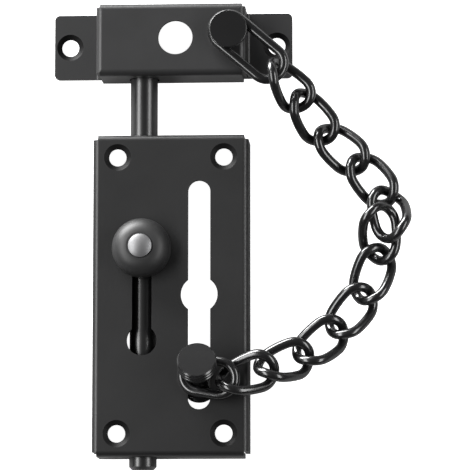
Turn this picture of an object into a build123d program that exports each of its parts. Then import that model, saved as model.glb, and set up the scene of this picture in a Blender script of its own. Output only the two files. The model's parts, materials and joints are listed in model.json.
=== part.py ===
from build123d import *
from math import asin, cos, pi, radians, sin
import os

os.makedirs("parts", exist_ok=True)

# Frame: millimetres, +X across the plate, +Y along the bolt towards the keeper, +Z away from the door.
# The layout is worked out from the middle of the lock plate, on the plane that the door and its
# frame share. Written nodes are moved so that the origin is midway between the keeper's screw holes.

# General sizes
SHEET = 1.4  # pressed steel sheet
BEND_R = 1.9  # outside radius of a fold
RUNNING_GAP = 0.08  # radial clearance of a running fit
LOOSE_GAP = 0.3  # clearance between pieces that hang loosely on each other
CUT = 1.0  # how far a cutter runs past a face

# Lock plate
PLATE_W = 48.4
PLATE_L = 100.0
PLATE_H = 12.0
PLATE_NOTCH = 1.5  # relief cut where two folded walls would meet
PLATE_SCREW_X = 33.0  # hole to hole across the plate
PLATE_SCREW_Y = 85.8  # hole to hole along the plate
SCREW_HOLE_D = 5.4
SCREW_SINK_D = 8.4
SINK_DEPTH = 1.0

# Bolt, its slot and its guides
BOLT_X = -8.8
BOLT_D = 8.5
BOLT_Z = 5.3
BOLT_BOTTOM_Y = -53.8
BOLT_TOP_Y = 78.4
BOLT_CHAMFER = 1.0
BOLT_TRAVEL = 28.4
BOLT_SLOT_W = 6.1
BOLT_SLOT_END_D = 9.3
KNOB_Y = BOLT_TRAVEL / 2

# Knob, press button and spring
KNOB_D = 18.2
KNOB_H = 7.4
KNOB_RIM_H = 1.5
KNOB_BULGE_OUT = 1.15  # of the dome's outline, beyond the straight line from rim to top
KNOB_BULGE_UP = 1.0
KNOB_EDGE = 0.3  # chamfer under the rim
KNOB_TOP_D = 8.8
KNOB_LIFT = 0.4  # gap under the knob's rim
RECESS_D = 7.5
RECESS_DEPTH = 4.4
NECK_D = BOLT_SLOT_W - 2 * LOOSE_GAP
NECK_IN_BOLT = 2.6
NECK_IN_KNOB = 2.0
STEM_D = 3.4
BEAD_GAP = 0.15
BUTTON_TRAVEL = 1.8
BEAD_RISE = 1.5  # how far the bead's rim stands out of the knob
BEAD_DOME = 0.9
FOOT_H = 0.9
FOOT_GAP = 0.2
SPRING_WELL_D = 4.5
SPRING_D = 4.0
SPRING_WIRE = 0.45
SPRING_TURNS = 3
SPRING_SEAT_GAP = 0.02  # between the spring and what it stands on
WELL_FLOOR = 1.2  # bolt metal left under the spring

# Keyhole slot
KEY_X = 8.9
KEY_W = 6.9
KEY_L = 71.0
KEY_EYE_D = 11.4

# Keeper
KEEPER_Y = 79.8
KEEPER_W = 46.6
KEEPER_L = 22.8
KEEPER_H = 14.0
KEEPER_NOTCH = 1.1
TAB_SPAN = 75.0  # tip to tip
TAB_L = 20.6
TAB_CORNER_R = 1.6
TAB_FOLD_R = 1.0
TAB_SCREW_IN = 4.9  # from a tab's tip to the middle of its hole
SIGHT_D = 10.7  # round see-through hole
SIGHT_X = 1.5
SIGHT_DY = 0.5
BOLT_ENTRY_GAP = 0.45

# Anchor post on the keeper
POST_IN = 5.1  # from the keeper's right side to the middle of the post
POST_X = KEEPER_W / 2 - POST_IN
POST_DY = 2.0
POST_D = 6.8
POST_HEAD_D = 11.7
POST_HEAD_T = 1.6
POST_HEAD_R = 0.3  # rounding of the head's edge
SHANK_D = 4.2
WASHER_D = 6.4
WASHER_T = 0.6
RIVET_D = 5.4
RIVET_T = 0.9
RIVET_R = 0.4

# Wire rings and links
WIRE_D = 3.0
RING_W = 13.4
ANCHOR_RING_L = 29.2
SLIDE_RING_L = 20.0
ANCHOR_RING_TURN = -40.7  # degrees from +X
SLIDE_RING_TURN = -10.0
SLIDE_RING_UP = 11.0  # degrees that its far end is lifted
SLIDE_RING_ROLL = 7.0  # degrees about its length
LINK_L = 20.3
LINK_TWIST = 45.0  # degrees at each end of a link
RING_PLAY = 0.35  # above and below a ring under its head
MESH_OFFSET = 1.65  # from the middle of an end wire to where two wires cross

# How far each crossing of two links lies from the straight line between the two rings' crossings,
# laid out by eye from the photograph: x, y, z in lay units
LAY_UNIT = 1.0
CHAIN_LAY = [
    (8.5, 0.5, -5.3),
    (17.4, -1.3, -9.4),
    (29.0, -1.4, -10.2),
    (39.0, -3.5, -10.3),
    (42.3, -5.8, -5.1),
    (39.4, -4.0, -10.7),
    (36.2, -7.7, -10.6),
    (28.8, -9.8, -9.6),
    (20.1, -9.4, -6.2),
    (9.2, -5.3, -1.2),
]
LINK_ROLLS = [-27, -12, -4, 0, 1, -2, 0, 0, 4, 12, 13]  # degrees about each link's length
BUNCHED_LINK = 6  # the link that lies bunched beside the one before it
BUNCHED_START = (-4.2, 5.6, -0.8)  # lay units from the end of the link before it to its own start

# Slide stud
STUD_Y = -26.9
STUD_LEAN = 24.0  # degrees towards the keeper
STUD_NECK_D = 5.2
STUD_HEAD_D = 12.0
STUD_HEAD_T = 4.4
STUD_REAR_D = 10.4
STUD_REAR_T = 2.6
STUD_REAR_EDGE_T = 0.9
STUD_REAR_DROP = 3.3  # from the middle of the sheet to the rear head
STUD_RING_RISE = 4.0  # from the middle of the sheet to the ring's wire
STUD_HEAD_RISE = 9.2  # from the middle of the sheet to the outer head
STUD_EDGE = 0.4
GROOVE_DEPTH = 0.35
GROOVE_COUNT = 2


def cylinder_z(radius, x, y, z_low, z_high):
    """A cylinder along Z between two heights."""
    return Pos(x, y, (z_low + z_high) / 2) * Cylinder(radius, z_high - z_low)


def cylinder_y(radius, x, z, y_low, y_high):
    """A cylinder along Y between two stations."""
    return Pos(x, (y_low + y_high) / 2, z) * Rot(90, 0, 0) * Cylinder(radius, y_high - y_low)


def block(width, length, z_low, z_high, x=0.0, y=0.0):
    """A block centred on x and y between two heights."""
    return Pos(x, y, (z_low + z_high) / 2) * Box(width, length, z_high - z_low)


def pressed_pan(width, length, depth, notch):
    """Sheet pan with four folded walls, open behind, relieved at its corners."""
    outer = block(width, length, 0, depth)
    outer = fillet(outer.faces().sort_by(Axis.Z)[-1].edges(), BEND_R)
    inner = block(width - 2 * SHEET, length - 2 * SHEET, -CUT, depth - SHEET)
    inner = fillet(inner.faces().sort_by(Axis.Z)[-1].edges(), BEND_R - SHEET)
    pan = outer - inner
    for sx in (-1, 1):
        for sy in (-1, 1):
            pan -= block(2 * notch, 2 * notch, -CUT, depth + CUT, sx * width / 2, sy * length / 2)
    return pan


def screw_hole(x, y, z_face):
    """Countersunk hole through a sheet whose outside face is at z_face."""
    hole = cylinder_z(SCREW_HOLE_D / 2, x, y, z_face - SHEET - CUT, z_face + CUT)
    sink = Pos(x, y, z_face - SINK_DEPTH / 2) * Cone(SCREW_HOLE_D / 2, SCREW_SINK_D / 2, SINK_DEPTH)
    return hole + sink


def slot_y(width, length, x, y, z_low, z_high):
    """Round-ended slot along Y, length measured over its ends."""
    straight = length - width
    cutter = block(width, straight, z_low, z_high, x, y)
    for side in (-1, 1):
        cutter += cylinder_z(width / 2, x, y + side * straight / 2, z_low, z_high)
    return cutter


def lock_plate():
    """The lock's pan with its slots, screw holes and bolt guides."""
    pan = pressed_pan(PLATE_W, PLATE_L, PLATE_H, PLATE_NOTCH)
    low = PLATE_H - SHEET - CUT
    high = PLATE_H + CUT
    for sx in (-1, 1):
        for sy in (-1, 1):
            pan -= screw_hole(sx * PLATE_SCREW_X / 2, sy * PLATE_SCREW_Y / 2, PLATE_H)
    pan -= slot_y(BOLT_SLOT_W, BOLT_TRAVEL + BOLT_SLOT_W, BOLT_X, 0, low, high)
    for side in (-1, 1):
        pan -= cylinder_z(BOLT_SLOT_END_D / 2, BOLT_X, side * BOLT_TRAVEL / 2, low, high)
    pan -= slot_y(KEY_W, KEY_L, KEY_X, 0, low, high)
    pan -= cylinder_z(KEY_EYE_D / 2, KEY_X, 0, low, high)
    reach = PLATE_L / 2 + CUT
    pan -= cylinder_y(BOLT_D / 2 + RUNNING_GAP, BOLT_X, BOLT_Z, -reach, reach)
    return pan


def neck_low_z():
    """Height of the knob neck's lower end inside the bolt."""
    return BOLT_Z + BOLT_D / 2 - NECK_IN_BOLT


def knob_low_z():
    """Height of the knob's underside."""
    return PLATE_H + KNOB_LIFT


def bolt():
    """Round rod with chamfered ends and a stepped cross bore for the knob's neck."""
    rod = cylinder_y(BOLT_D / 2, BOLT_X, BOLT_Z, BOLT_BOTTOM_Y, BOLT_TOP_Y)
    rod = chamfer(rod.edges().filter_by(GeomType.CIRCLE), BOLT_CHAMFER)
    top = BOLT_Z + BOLT_D / 2 + CUT
    rod -= cylinder_z(NECK_D / 2, BOLT_X, KNOB_Y, neck_low_z(), top)
    rod -= cylinder_z(SPRING_WELL_D / 2, BOLT_X, KNOB_Y, well_low_z(), top)
    return rod


def well_low_z():
    """Height of the spring well's floor."""
    return BOLT_Z - BOLT_D / 2 + WELL_FLOOR


def knob():
    """Domed knob with a recess for the bead and a socket for the neck."""
    low = knob_low_z()
    rim = KNOB_D / 2
    flat = KNOB_TOP_D / 2
    mid = ((rim + flat) / 2 + KNOB_BULGE_OUT, (KNOB_RIM_H + KNOB_H) / 2 + KNOB_BULGE_UP)
    with BuildPart() as turned:
        with BuildSketch(Plane.XZ):
            with BuildLine():
                Polyline((0, 0), (rim - KNOB_EDGE, 0), (rim, KNOB_EDGE), (rim, KNOB_RIM_H))
                ThreePointArc((rim, KNOB_RIM_H), mid, (flat, KNOB_H))
                Polyline((flat, KNOB_H), (0, KNOB_H), (0, 0))
            make_face()
        revolve(axis=Axis.Z)
    body = Pos(BOLT_X, KNOB_Y, low) * turned.part
    body -= cylinder_z(RECESS_D / 2, BOLT_X, KNOB_Y, low + KNOB_H - RECESS_DEPTH, low + KNOB_H + CUT)
    body -= cylinder_z(NECK_D / 2, BOLT_X, KNOB_Y, low - CUT, low + NECK_IN_KNOB)
    body -= cylinder_z(STEM_D / 2 + RUNNING_GAP, BOLT_X, KNOB_Y, low, low + KNOB_H)
    return body


def knob_neck():
    """Tube that joins the knob to the bolt through the slot."""
    low = neck_low_z()
    high = knob_low_z() + NECK_IN_KNOB
    tube = cylinder_z(NECK_D / 2, BOLT_X, KNOB_Y, low, high)
    return tube - cylinder_z(STEM_D / 2 + RUNNING_GAP, BOLT_X, KNOB_Y, low - CUT, high + CUT)


def cap_middle(radius, height):
    """The point halfway along a spherical cap's outline: its radius and its height over the base."""
    sphere = (radius**2 + height**2) / (2 * height)
    half = asin(radius / sphere) / 2
    return sphere * sin(half), height - sphere * (1 - cos(half))


def foot_low_z():
    """Height of the button foot's underside at rest."""
    return neck_low_z() - FOOT_GAP - FOOT_H


def press_button():
    """Bead, stem and foot in one turned piece."""
    rim_z = knob_low_z() + KNOB_H + BEAD_RISE - BEAD_DOME
    bead_low = rim_z - RECESS_DEPTH + BUTTON_TRAVEL + LOOSE_GAP + (BEAD_DOME - BEAD_RISE)
    radius = RECESS_D / 2 - BEAD_GAP
    bead = cylinder_z(radius, BOLT_X, KNOB_Y, bead_low, rim_z)
    with BuildPart() as dome:
        with BuildSketch(Plane.XZ):
            with BuildLine():
                Polyline((0, 0), (radius, 0))
                ThreePointArc((radius, 0), cap_middle(radius, BEAD_DOME), (0, BEAD_DOME))
                Line((0, BEAD_DOME), (0, 0))
            make_face()
        revolve(axis=Axis.Z)
    bead += Pos(BOLT_X, KNOB_Y, rim_z) * dome.part
    low = foot_low_z()
    bead += cylinder_z(STEM_D / 2, BOLT_X, KNOB_Y, low, bead_low)
    bead += cylinder_z(SPRING_D / 2, BOLT_X, KNOB_Y, low, low + FOOT_H)
    return bead


def button_spring():
    """Coil spring between the button's foot and the floor of the well."""
    low = well_low_z() + SPRING_WIRE / 2 + SPRING_SEAT_GAP
    high = foot_low_z() - SPRING_WIRE / 2 - SPRING_SEAT_GAP
    radius = (SPRING_D - SPRING_WIRE) / 2
    coil = Helix(pitch=(high - low) / SPRING_TURNS, height=high - low, radius=radius)
    start = Plane(origin=coil @ 0, z_dir=coil % 0)
    wire = sweep(start * Circle(SPRING_WIRE / 2), path=coil)
    return Pos(BOLT_X, KNOB_Y, low) * wire


def keeper():
    """Hat bracket that takes the bolt: a pan with a screw tab on each side."""
    body = Pos(0, KEEPER_Y, 0) * pressed_pan(KEEPER_W, KEEPER_L, KEEPER_H, KEEPER_NOTCH)
    tab_w = (TAB_SPAN - KEEPER_W) / 2
    for side in (-1, 1):
        mid_x = side * (KEEPER_W / 2 + tab_w / 2 - SHEET / 2)
        tab = block(tab_w + SHEET, TAB_L, 0, SHEET, mid_x, KEEPER_Y)
        corners = tab.edges().filter_by(Axis.Z).group_by(Axis.X)[-1 if side > 0 else 0]
        body += fillet(corners, TAB_CORNER_R)
    body = fillet(fold_edges(body), TAB_FOLD_R)
    for side in (-1, 1):
        body -= screw_hole(side * (TAB_SPAN / 2 - TAB_SCREW_IN), KEEPER_Y, SHEET)
    low = KEEPER_H - SHEET - CUT
    high = KEEPER_H + CUT
    body -= cylinder_z(SIGHT_D / 2, SIGHT_X, KEEPER_Y + SIGHT_DY, low, high)
    body -= cylinder_z(SHANK_D / 2, POST_X, KEEPER_Y + POST_DY, low, high)
    entry_y = KEEPER_Y - KEEPER_L / 2
    entry_r = BOLT_D / 2 + BOLT_ENTRY_GAP
    body -= cylinder_y(entry_r, BOLT_X, BOLT_Z, entry_y - CUT, entry_y + SHEET + CUT)
    return body


def fold_edges(body):
    """The two inside edges where the keeper's side walls meet its tabs."""
    found = []
    for edge in body.edges().filter_by(Axis.Y):
        at = edge.center()
        if abs(abs(at.X) - KEEPER_W / 2) < 0.01 and abs(at.Z - SHEET) < 0.01:
            found.append(edge)
    return found


def post_head_z():
    """Underside of the anchor post's head."""
    return KEEPER_H + WIRE_D + 2 * RING_PLAY


def anchor_post():
    """Headed post, its shank through the keeper and its riveted end."""
    x = POST_X
    y = KEEPER_Y + POST_DY
    head_z = post_head_z()
    head = cylinder_z(POST_HEAD_D / 2, x, y, head_z, head_z + POST_HEAD_T)
    head = fillet(head.edges().group_by(Axis.Z)[-1], POST_HEAD_R)
    post = head + cylinder_z(POST_D / 2, x, y, KEEPER_H, head_z)
    end_z = KEEPER_H - SHEET - WASHER_T
    post += cylinder_z(SHANK_D / 2, x, y, end_z, KEEPER_H)
    rivet = cylinder_z(RIVET_D / 2, x, y, end_z - RIVET_T, end_z)
    return post + fillet(rivet.edges().group_by(Axis.Z)[0], RIVET_R)


def anchor_washer():
    """Washer between the keeper and the riveted end."""
    x = POST_X
    y = KEEPER_Y + POST_DY
    high = KEEPER_H - SHEET
    ring = cylinder_z(WASHER_D / 2, x, y, high - WASHER_T, high)
    return ring - cylinder_z(SHANK_D / 2, x, y, high - WASHER_T - CUT, high + CUT)


def flat_ring(length):
    """Wire ring in the XY plane, its left end's arc centred on the origin."""
    bend = (RING_W - WIRE_D) / 2
    straight = length - RING_W
    with BuildLine() as route:
        Line((0, -bend), (straight, -bend))
        ThreePointArc((straight, -bend), (straight + bend, 0), (straight, bend))
        Line((straight, bend), (0, bend))
        ThreePointArc((0, bend), (-bend, 0), (0, -bend))
    start = Plane(origin=(0, -bend, 0), z_dir=(1, 0, 0))
    return sweep(start * Circle(WIRE_D / 2), path=route.wires()[0])


def ring_far(length):
    """Distance from a ring's near arc centre to where the next wire crosses it."""
    return length - RING_W + (RING_W - WIRE_D) / 2 - MESH_OFFSET


def anchor_ring_place():
    """Location of the anchor ring on its post."""
    z = KEEPER_H + RING_PLAY + WIRE_D / 2
    return Pos(POST_X, KEEPER_Y + POST_DY, z) * Rot(0, 0, ANCHOR_RING_TURN)


def stud_place():
    """Location of the stud: its own Z is its axis, its origin in the middle of the sheet."""
    return Pos(KEY_X, STUD_Y, PLATE_H - SHEET / 2) * Rot(-STUD_LEAN, 0, 0)


def slide_ring_place():
    """Location of the slide ring, which hangs loosely round the stud's neck."""
    centre = (stud_place() * Pos(0, 0, STUD_RING_RISE)).position
    turned = Rot(0, 0, SLIDE_RING_TURN) * Rot(0, -SLIDE_RING_UP, 0) * Rot(SLIDE_RING_ROLL, 0, 0)
    return Pos(centre) * turned


def twisted_point(x, y):
    """A point of the flat link outline after the link is twisted about its length."""
    angle = radians(LINK_TWIST) * x / ((LINK_L - WIRE_D) / 2)
    return Vector(x, y * cos(angle), y * sin(angle))


def half_outline():
    """Flat centreline points of the link's +X half, from one side to the other."""
    bend = (RING_W - WIRE_D) / 2
    straight = (LINK_L - RING_W) / 2
    points = [(0, -bend), (straight / 2, -bend)]
    steps = 8
    for step in range(steps + 1):
        turn = -pi / 2 + pi * step / steps
        points.append((straight + bend * cos(turn), bend * sin(turn)))
    points += [(straight / 2, bend), (0, bend)]
    return points


def chain_link():
    """One twisted link centred on the origin, its length along X."""
    route = [twisted_point(x, y) for x, y in half_outline()]
    slope = radians(LINK_TWIST) / ((LINK_L - WIRE_D) / 2)
    bend = (RING_W - WIRE_D) / 2
    first = Vector(1, 0, -bend * slope)
    last = Vector(-1, 0, -bend * slope)
    path = Edge.make_spline(route, tangents=[first, last])
    start = Plane(origin=route[0], z_dir=first)
    half = sweep(start * Circle(WIRE_D / 2), path=path)
    return half + Rot(0, 0, 180) * half


def crossing_points():
    """All crossings from the anchor ring to the slide ring."""
    first = (anchor_ring_place() * Pos(ring_far(ANCHOR_RING_L), 0, 0)).position
    last = (slide_ring_place() * Pos(ring_far(SLIDE_RING_L), 0, 0)).position
    step = (last - first) / (len(CHAIN_LAY) + 1)
    laid = [first + step * (index + 1) + Vector(*away) * LAY_UNIT for index, away in enumerate(CHAIN_LAY)]
    return [first] + laid + [last]


def link_place(start, end, roll):
    """Location of a link that runs from one crossing to the next."""
    along = (end - start).normalized()
    up = (Vector(0, 0, 1) - along * along.Z).normalized()
    return Plane(origin=(start + end) / 2, x_dir=along, z_dir=up).location * Rot(roll, 0, 0)


def slide_stud():
    """Stud with a domed rear head behind the sheet and a grooved head outside."""
    neck = STUD_NECK_D / 2
    rear = STUD_REAR_D / 2
    head = STUD_HEAD_D / 2
    rear_z = -STUD_REAR_DROP
    low = STUD_HEAD_RISE
    high = low + STUD_HEAD_T
    outline = [(0, high), (head - STUD_EDGE, high), (head, high - STUD_EDGE)]
    for index in range(GROOVE_COUNT, 0, -1):
        z = low + STUD_HEAD_T * index / (GROOVE_COUNT + 1)
        outline += [(head, z + GROOVE_DEPTH), (head - GROOVE_DEPTH, z), (head, z - GROOVE_DEPTH)]
    outline += [(head, low + STUD_EDGE), (head - STUD_EDGE, low), (neck, low)]
    edge = (rear, rear_z - STUD_REAR_EDGE_T)
    outline += [(neck, rear_z), (rear, rear_z), edge]
    cap_x, cap_z = cap_middle(rear, STUD_REAR_T - STUD_REAR_EDGE_T)
    with BuildPart() as turned:
        with BuildSketch(Plane.XZ):
            with BuildLine():
                Polyline(*outline)
                ThreePointArc(edge, (cap_x, edge[1] - cap_z), (0, rear_z - STUD_REAR_T))
                Line((0, rear_z - STUD_REAR_T), (0, high))
            make_face()
        revolve(axis=Axis.Z)
    return stud_place() * turned.part


def write(shape, name):
    """Write one node."""
    moved = Pos(0, -KEEPER_Y, 0) * shape
    moved.label = name
    export_step(moved, "parts/" + name + ".step")


write(lock_plate(), "lock_plate")
write(bolt(), "bolt")
write(knob(), "knob")
write(knob_neck(), "knob_neck")
write(press_button(), "press_button")
write(button_spring(), "button_spring")
write(keeper(), "keeper")
write(anchor_post(), "anchor_post")
write(anchor_washer(), "anchor_washer")
write(anchor_ring_place() * flat_ring(ANCHOR_RING_L), "anchor_ring")
write(slide_stud(), "slide_stud")
write(slide_ring_place() * flat_ring(SLIDE_RING_L), "slide_ring")

link = chain_link()
crossings = crossing_points()
for index, roll in enumerate(LINK_ROLLS):
    start = crossings[index]
    if index + 1 == BUNCHED_LINK:
        start += Vector(*BUNCHED_START) * LAY_UNIT
    place = link_place(start, crossings[index + 1], roll)
    write(place * link, f"chain_link_{index + 1:02d}")
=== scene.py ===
import bpy
import bmesh
import json
import math
from mathutils import Matrix, Vector


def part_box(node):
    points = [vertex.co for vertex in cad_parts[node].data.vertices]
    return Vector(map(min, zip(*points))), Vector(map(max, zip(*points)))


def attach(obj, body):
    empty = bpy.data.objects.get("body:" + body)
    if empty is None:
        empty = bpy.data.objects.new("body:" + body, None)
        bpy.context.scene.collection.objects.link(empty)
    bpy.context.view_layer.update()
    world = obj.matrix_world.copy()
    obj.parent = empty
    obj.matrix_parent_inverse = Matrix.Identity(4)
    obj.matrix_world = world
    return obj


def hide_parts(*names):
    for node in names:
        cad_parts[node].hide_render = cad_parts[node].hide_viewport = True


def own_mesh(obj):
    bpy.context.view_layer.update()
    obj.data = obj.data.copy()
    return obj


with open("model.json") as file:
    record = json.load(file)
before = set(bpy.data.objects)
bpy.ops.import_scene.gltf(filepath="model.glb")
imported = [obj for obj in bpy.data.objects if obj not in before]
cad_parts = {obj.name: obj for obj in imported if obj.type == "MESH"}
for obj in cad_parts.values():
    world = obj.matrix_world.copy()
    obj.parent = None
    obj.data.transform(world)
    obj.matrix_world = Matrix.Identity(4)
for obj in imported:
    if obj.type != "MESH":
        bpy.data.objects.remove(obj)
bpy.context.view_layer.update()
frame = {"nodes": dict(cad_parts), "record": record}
nodes = frame["nodes"]
mm = 0.001
white = (1, 1, 1, 1)
print("frame loaded, pieces:", len(nodes))

# helpers

mixShare, colorA, colorB, colorOut = 0, 6, 7, 2  # a Mix node's sockets when it mixes colours


def newMaterial(name):
    made = bpy.data.materials.new(name)
    made.use_nodes = True
    tree = made.node_tree
    tree.nodes.clear()
    out = tree.nodes.new("ShaderNodeOutputMaterial")
    shader = tree.nodes.new("ShaderNodeBsdfPrincipled")
    tree.links.new(shader.outputs["BSDF"], out.inputs["Surface"])
    return made, tree, shader


# a value is one of the node's sockets where it has one of that name, or else a setting
def node(tree, kind, **values):
    made = tree.nodes.new(kind)
    for key, value in values.items():
        if key in made.inputs:
            made.inputs[key].default_value = value
        else:
            setattr(made, key, value)
    return made


# gives a socket a number or another node's output
def feed(tree, value, socket):
    if isinstance(value, bpy.types.NodeSocket):
        tree.links.new(value, socket)
    else:
        socket.default_value = value


def reckon(tree, operation, first, second):
    made = node(tree, "ShaderNodeMath", operation=operation)
    feed(tree, first, made.inputs[0])
    feed(tree, second, made.inputs[1])
    return made.outputs[0]


def remap(tree, value, before, after):
    made = node(tree, "ShaderNodeMapRange")
    feed(tree, value, made.inputs["Value"])
    for label, number in zip(("From Min", "From Max", "To Min", "To Max"), (*before, *after)):
        feed(tree, number, made.inputs[label])
    return made.outputs["Result"]


def noise(tree, scale, detail, roughness):
    place = node(tree, "ShaderNodeTexCoord")
    made = node(tree, "ShaderNodeTexNoise", Detail=detail, Roughness=roughness)
    feed(tree, place.outputs["Object"], made.inputs["Vector"])
    feed(tree, scale, made.inputs["Scale"])
    return made.outputs["Fac"]


def startGroup(name, inputs, outputs):
    group = bpy.data.node_groups.new(name, "ShaderNodeTree")
    for label, value in inputs.items():
        socket = group.interface.new_socket(label, in_out="INPUT", socket_type="NodeSocketFloat")
        socket.default_value = value
    for label in outputs:
        group.interface.new_socket(label, in_out="OUTPUT", socket_type="NodeSocketFloat")
    return group, group.nodes.new("NodeGroupInput"), group.nodes.new("NodeGroupOutput")


def placeGroup(tree, group, **values):
    made = tree.nodes.new("ShaderNodeGroup")
    made.node_tree = group
    for key, value in values.items():
        made.inputs[key].default_value = value
    return made


# shared effects; scales are features per metre, and widths are metres

coatInputs = {"Peel Scale": 900.0, "Grit Scale": 4200.0, "Grit": 0.35, "Tone": 0.12, "Spread": 0.06}
peelNoise = {"detail": 3.0, "roughness": 0.5}
gritNoise = {"detail": 2.0, "roughness": 0.6}
driftNoise = {"scale": 38.0, "detail": 4.0, "roughness": 0.55}
driftRange = (0.3, 0.7)  # the part of the drift noise that spans the whole change of tone


# orange peel and fine grit of a powder coat, with a slow drift of tone and roughness
def buildCoatGroup():
    group, given, out = startGroup("coatSurface", coatInputs, ("Height", "Shade", "Rough"))
    peel = noise(group, given.outputs["Peel Scale"], **peelNoise)
    grit = noise(group, given.outputs["Grit Scale"], **gritNoise)
    drift = noise(group, **driftNoise)
    roughGrit = reckon(group, "MULTIPLY", grit, given.outputs["Grit"])
    feed(group, reckon(group, "ADD", roughGrit, peel), out.inputs["Height"])
    darkest = reckon(group, "SUBTRACT", 1.0, given.outputs["Tone"])
    lightest = reckon(group, "ADD", 1.0, given.outputs["Tone"])
    feed(group, remap(group, drift, driftRange, (darkest, lightest)), out.inputs["Shade"])
    feed(group, reckon(group, "MULTIPLY", drift, given.outputs["Spread"]), out.inputs["Rough"])
    return group


rubInputs = {"Width": 0.0004, "Amount": 0.5, "Patch Scale": 260.0}
rubNoise = {"detail": 4.0, "roughness": 0.65}
rubSamples = 6
rubBend = (0.985, 0.9)  # likeness of rounded and true normal, where a rub starts and where it is full
rubPatches = (0.42, 0.62)  # the part of the patch noise that takes a rub from nothing to full
wholeRange = (0.0, 1.0)


# thin bright rub in patches where an edge is sharp
def buildRubGroup():
    group, given, out = startGroup("edgeRub", rubInputs, ("Mask",))
    rounded = node(group, "ShaderNodeBevel", samples=rubSamples)
    feed(group, given.outputs["Width"], rounded.inputs["Radius"])
    true = node(group, "ShaderNodeNewGeometry")
    alike = node(group, "ShaderNodeVectorMath", operation="DOT_PRODUCT")
    feed(group, rounded.outputs["Normal"], alike.inputs[0])
    feed(group, true.outputs["Normal"], alike.inputs[1])
    edge = remap(group, alike.outputs["Value"], rubBend, wholeRange)
    patch = noise(group, given.outputs["Patch Scale"], **rubNoise)
    broken = reckon(group, "MULTIPLY", edge, remap(group, patch, rubPatches, wholeRange))
    feed(group, reckon(group, "MULTIPLY", broken, given.outputs["Amount"]), out.inputs["Mask"])
    return group


coatGroup = buildCoatGroup()
rubGroup = buildRubGroup()

# finishes

plateBlack = {"color": (0.007, 0.007, 0.0072), "worn": (0.08, 0.08, 0.08), "roughness": 0.38, "shine": 0.5,
              "peel": 900.0, "grit": 4200.0, "bump": 0.08, "edge": 0.25, "coat": 0.0, "coatRough": 0.2}
keeperBlack = {**plateBlack, "color": (0.016, 0.016, 0.0164)}
# countersinks: a darker colour and weaker shine, painted shade for these recesses
sinkPaintedShade = {**plateBlack, "color": (0.004, 0.004, 0.0041), "roughness": 0.5, "shine": 0.12, "edge": 0.0}
glossBlack = {"color": (0.006, 0.006, 0.0062), "worn": (0.03, 0.03, 0.03), "roughness": 0.22, "shine": 0.5,
              "peel": 520.0, "grit": 2600.0, "bump": 0.02, "edge": 0.1, "coat": 0.5, "coatRough": 0.12}
boltBlack = {**glossBlack, "roughness": 0.32, "bump": 0.06, "coat": 0.6, "coatRough": 0.26}
knobBlack = {"color": (0.013, 0.013, 0.0133), "worn": (0.05, 0.05, 0.05), "roughness": 0.47, "shine": 0.5,
             "peel": 1200.0, "grit": 5200.0, "bump": 0.04, "edge": 0.1, "coat": 0.0, "coatRough": 0.2}
coatDepth = 0.0002


def paintedSteel(name, look):
    made, tree, shader = newMaterial(name)
    coat = placeGroup(tree, coatGroup, **{"Peel Scale": look["peel"], "Grit Scale": look["grit"]})
    rub = placeGroup(tree, rubGroup, Amount=look["edge"])
    base = node(tree, "ShaderNodeMix", data_type="RGBA", blend_type="MIX")
    feed(tree, rub.outputs["Mask"], base.inputs[mixShare])
    feed(tree, (*look["color"], 1), base.inputs[colorA])
    feed(tree, (*look["worn"], 1), base.inputs[colorB])
    shade = node(tree, "ShaderNodeVectorMath", operation="SCALE")
    feed(tree, base.outputs[colorOut], shade.inputs[0])
    feed(tree, coat.outputs["Shade"], shade.inputs["Scale"])
    feed(tree, shade.outputs[0], shader.inputs["Base Color"])
    rough = reckon(tree, "ADD", look["roughness"], coat.outputs["Rough"])
    feed(tree, rough, shader.inputs["Roughness"])
    bump = node(tree, "ShaderNodeBump", Strength=look["bump"], Distance=coatDepth)
    feed(tree, coat.outputs["Height"], bump.inputs["Height"])
    feed(tree, bump.outputs["Normal"], shader.inputs["Normal"])
    shader.inputs["Coat Weight"].default_value = look["coat"]
    shader.inputs["Coat Roughness"].default_value = look["coatRough"]
    shader.inputs["Specular IOR Level"].default_value = look["shine"]
    return made


silver = {"color": (0.2, 0.2, 0.204), "roughness": 0.46, "metal": 0.75, "turning": 5200.0, "bump": 0.05}
springSteel = {"color": (0.42, 0.42, 0.44), "roughness": 0.32, "metal": 1.0, "turning": 3000.0, "bump": 0.04}
turningDetail = 3.0
turningTone = (0.9, 1.06)
turningDepth = 0.0001


# bare metal with fine turning rings about an upright axis through centre
def turnedMetal(name, look, centre):
    made, tree, shader = newMaterial(name)
    place = node(tree, "ShaderNodeTexCoord")
    away = node(tree, "ShaderNodeVectorMath", operation="SUBTRACT")
    feed(tree, place.outputs["Object"], away.inputs[0])
    feed(tree, centre, away.inputs[1])
    flat = node(tree, "ShaderNodeVectorMath", operation="MULTIPLY")
    feed(tree, away.outputs[0], flat.inputs[0])
    feed(tree, (1, 1, 0), flat.inputs[1])
    radius = node(tree, "ShaderNodeVectorMath", operation="LENGTH")
    feed(tree, flat.outputs[0], radius.inputs[0])
    rings = node(tree, "ShaderNodeTexNoise", noise_dimensions="1D", Scale=look["turning"],
                 Detail=turningDetail)
    feed(tree, radius.outputs["Value"], rings.inputs["W"])
    shade = node(tree, "ShaderNodeVectorMath", operation="SCALE")
    feed(tree, look["color"], shade.inputs[0])
    feed(tree, remap(tree, rings.outputs["Fac"], wholeRange, turningTone), shade.inputs["Scale"])
    feed(tree, shade.outputs[0], shader.inputs["Base Color"])
    bump = node(tree, "ShaderNodeBump", Strength=look["bump"], Distance=turningDepth)
    feed(tree, rings.outputs["Fac"], bump.inputs["Height"])
    feed(tree, bump.outputs["Normal"], shader.inputs["Normal"])
    shader.inputs["Metallic"].default_value = look["metal"]
    shader.inputs["Roughness"].default_value = look["roughness"]
    return made


def middle(name):
    low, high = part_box(name)
    return (Vector(low) + Vector(high)) / 2


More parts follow.
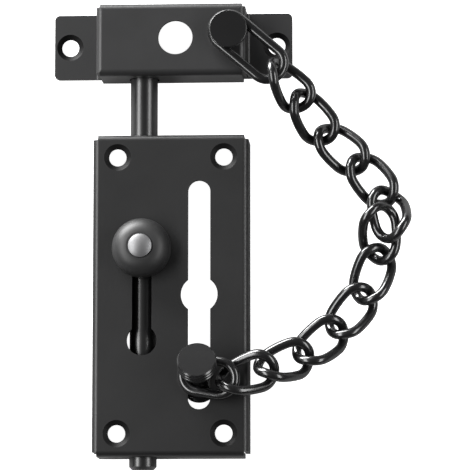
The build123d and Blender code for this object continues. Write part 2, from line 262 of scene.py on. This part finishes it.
def dress(name, material):
    target = nodes[name]
    for slot in target.material_slots:
        slot.material = material
    if not target.material_slots:
        target.data.materials.append(material)


mounts = {mount["name"]: mount for mount in frame["record"]["mounts"]}
sinkReach = 0.0048  # from a screw hole's axis to the outside of its countersink
flatFace = 0.98  # a face whose normal is more upright than this isn't part of a countersink


# gives the sloping faces round a mount's screw holes a slot of their own, whose darker, duller paint is
# painted shade in the countersinks
def dressSinkShade(name, mount, material):
    mesh = nodes[name].data
    mesh.materials.append(material)
    middleX, middleY, _ = mounts[mount]["pos_m"]
    dims = mounts[mount]["dims"]
    halfX, halfY = dims["spacing_x_mm"] * mm / 2, dims.get("spacing_y_mm", 0) * mm / 2
    for face in mesh.polygons:
        x, y, _ = face.center
        away = math.hypot(abs(x - middleX) - halfX, abs(y - middleY) - halfY)
        if away < sinkReach and abs(face.normal.z) < flatFace:
            face.material_index = len(mesh.materials) - 1


platePaint = paintedSteel("plateBlackPaint", plateBlack)
keeperPaint = paintedSteel("keeperBlackPaint", keeperBlack)
sinkShadePaint = paintedSteel("countersinkPaintedShade", sinkPaintedShade)
glossPaint = paintedSteel("glossBlackPaint", glossBlack)
boltPaint = paintedSteel("boltBlackPaint", boltBlack)
knobPaint = paintedSteel("knobBlackPaint", knobBlack)
beadMetal = turnedMetal("silverBead", silver, middle("press_button"))
springMetal = turnedMetal("springSteel", springSteel, middle("button_spring"))

chainLinks = [name for name in nodes if name.startswith("chain_link")]
finishes = [
    (platePaint, ["lock_plate"]),
    (keeperPaint, ["keeper"]),
    (boltPaint, ["bolt"]),
    (knobPaint, ["knob", "knob_neck"]),
    (glossPaint, ["anchor_post", "anchor_ring", "slide_ring", "slide_stud", *chainLinks]),
    (beadMetal, ["press_button"]),
    (springMetal, ["anchor_washer"]),
]
for material, names in finishes:
    for name in names:
        dress(name, material)
dressSinkShade("lock_plate", "plate_screws", sinkShadePaint)
dressSinkShade("keeper", "keeper_screws", sinkShadePaint)
print("finishes placed")

# the button's spring, built as a coil of fixed length that rides with the bolt and knob; the real one
# shortens as the button goes in

pressSpring = {"turns": 3, "wire": 0.00045, "sides": 16, "steps": 40}


def buildSpring():
    low, high = (Vector(corner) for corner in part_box("button_spring"))
    half = pressSpring["wire"] / 2
    radius = (high.x - low.x) / 2 - half
    centre = (low + high) / 2
    length = high.z - low.z - 2 * half
    slope = length / (2 * math.pi * pressSpring["turns"])
    total = pressSpring["turns"] * pressSpring["steps"]
    sides = pressSpring["sides"]
    points, faces = [], []
    for step in range(total + 1):
        angle = 2 * math.pi * step / pressSpring["steps"]
        out = Vector((math.cos(angle), math.sin(angle), 0))
        along = Vector((-math.sin(angle) * radius, math.cos(angle) * radius, slope)).normalized()
        up = out.cross(along)
        wireMiddle = Vector((centre.x, centre.y, low.z + half + length * step / total)) + out * radius
        for side in range(sides):
            turn = 2 * math.pi * side / sides
            points.append(wireMiddle + (out * math.cos(turn) + up * math.sin(turn)) * half)
    for step in range(total):
        for side in range(sides):
            here, after = step * sides + side, step * sides + (side + 1) % sides
            faces.append((here, here + sides, after + sides, after))
    faces.append(tuple(range(sides)))
    faces.append(tuple(total * sides + side for side in reversed(range(sides))))
    mesh = bpy.data.meshes.new("pressSpring")
    mesh.from_pydata(points, [], faces)
    mesh.validate()
    for face in mesh.polygons:
        face.use_smooth = len(face.vertices) == 4
    mesh.materials.append(springMetal)
    spring = bpy.data.objects.new("pressSpring", mesh)
    bpy.context.scene.collection.objects.link(spring)
    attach(spring, "bolt_and_knob")
    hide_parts("button_spring")
    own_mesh(spring)
    return mesh


springMesh = buildSpring()
solid = bmesh.new()
solid.from_mesh(springMesh)
print("spring placed, volume mm3:", round(solid.calc_volume(signed=True) / mm ** 3, 2))
solid.free()

# floor, light and camera

floorLook = {"half": 3.0, "drop": 0.0004, "color": (0.8, 0.8, 0.8), "glow": 1.0, "tint": (0.4, 0.4, 0.4),
             "roughness": 0.8}


# glows evenly to the eye, and is darker in what the gloss reflects
def buildFloor():
    mesh = bpy.data.meshes.new("paleFloor")
    half, z = floorLook["half"], -floorLook["drop"]
    corners = [(-half, -half, z), (half, -half, z), (half, half, z), (-half, half, z)]
    mesh.from_pydata(corners, [], [(0, 1, 2, 3)])
    floor = bpy.data.objects.new("paleFloor", mesh)
    bpy.context.scene.collection.objects.link(floor)
    made, tree, shader = newMaterial("paleFloor")
    seen = node(tree, "ShaderNodeLightPath").outputs["Is Camera Ray"]
    tone = node(tree, "ShaderNodeMix", data_type="RGBA")
    feed(tree, seen, tone.inputs[mixShare])
    feed(tree, (*floorLook["tint"], 1), tone.inputs[colorA])
    feed(tree, (*floorLook["color"], 1), tone.inputs[colorB])
    feed(tree, tone.outputs[colorOut], shader.inputs["Base Color"])
    feed(tree, reckon(tree, "MULTIPLY", seen, floorLook["glow"]), shader.inputs["Emission Strength"])
    shader.inputs["Emission Color"].default_value = white
    shader.inputs["Roughness"].default_value = floorLook["roughness"]
    mesh.materials.append(made)


# turn is in degrees from +X about the vertical, rise in degrees from the floor
lamps = {
    "leftStrip": {"turn": 180, "rise": 47, "away": 1.2, "wide": 0.42, "long": 1.2, "power": 15.0},
    "rightStrip": {"turn": 0, "rise": 40, "away": 1.2, "wide": 0.36, "long": 1.2, "power": 10.0},
    "upperLeft": {"turn": 124, "rise": 12, "away": 1.3, "wide": 0.5, "long": 1.0, "power": 60.0},
}
lampAim = Vector((0.02, -0.06, 0.0))
studioGlow = 0.09


# the turn of a lamp or camera that has back behind it and right on its right
def facing(right, back):
    return Matrix((right, back.cross(right), back)).transposed().to_euler()


def buildLamps():
    for name, lamp in lamps.items():
        data = bpy.data.lights.new(name, "AREA")
        data.shape = "RECTANGLE"
        data.size, data.size_y = lamp["wide"], lamp["long"]
        data.energy = lamp["power"]
        made = bpy.data.objects.new(name, data)
        turn, rise = math.radians(lamp["turn"]), math.radians(lamp["rise"])
        back = Vector((math.cos(turn) * math.cos(rise), math.sin(turn) * math.cos(rise), math.sin(rise)))
        level = back.cross(Vector((0, 0, 1))).normalized()  # the long side lies level
        made.location = lampAim + back * lamp["away"]
        made.rotation_euler = facing(level.cross(back), back)
        bpy.context.scene.collection.objects.link(made)
    world = bpy.data.worlds.new("studio")
    bpy.context.scene.world = world
    world.use_nodes = True
    background = world.node_tree.nodes["Background"]
    background.inputs["Color"].default_value = white
    background.inputs["Strength"].default_value = studioGlow


viewer = {"at": (0.0703, -0.1915, 0.9545), "aim": (0.0200, -0.0615, 0.012), "lens": 236.4, "sensor": 36.0,
          "near": 0.01, "far": 20.0}


def buildCamera():
    data = bpy.data.cameras.new("viewer")
    data.lens = viewer["lens"]
    data.sensor_width = viewer["sensor"]
    data.clip_start = viewer["near"]
    data.clip_end = viewer["far"]
    made = bpy.data.objects.new("viewer", data)
    made.location = viewer["at"]
    back = (made.location - Vector(viewer["aim"])).normalized()
    right = Vector((0, 1, 0)).cross(back).normalized()  # +Y of the frame is up in the picture
    made.rotation_euler = facing(right, back)
    bpy.context.scene.collection.objects.link(made)
    bpy.context.scene.camera = made


buildFloor()
buildLamps()
buildCamera()
bpy.context.scene.view_settings.view_transform = "Standard"
print("floor, lamps and camera placed")
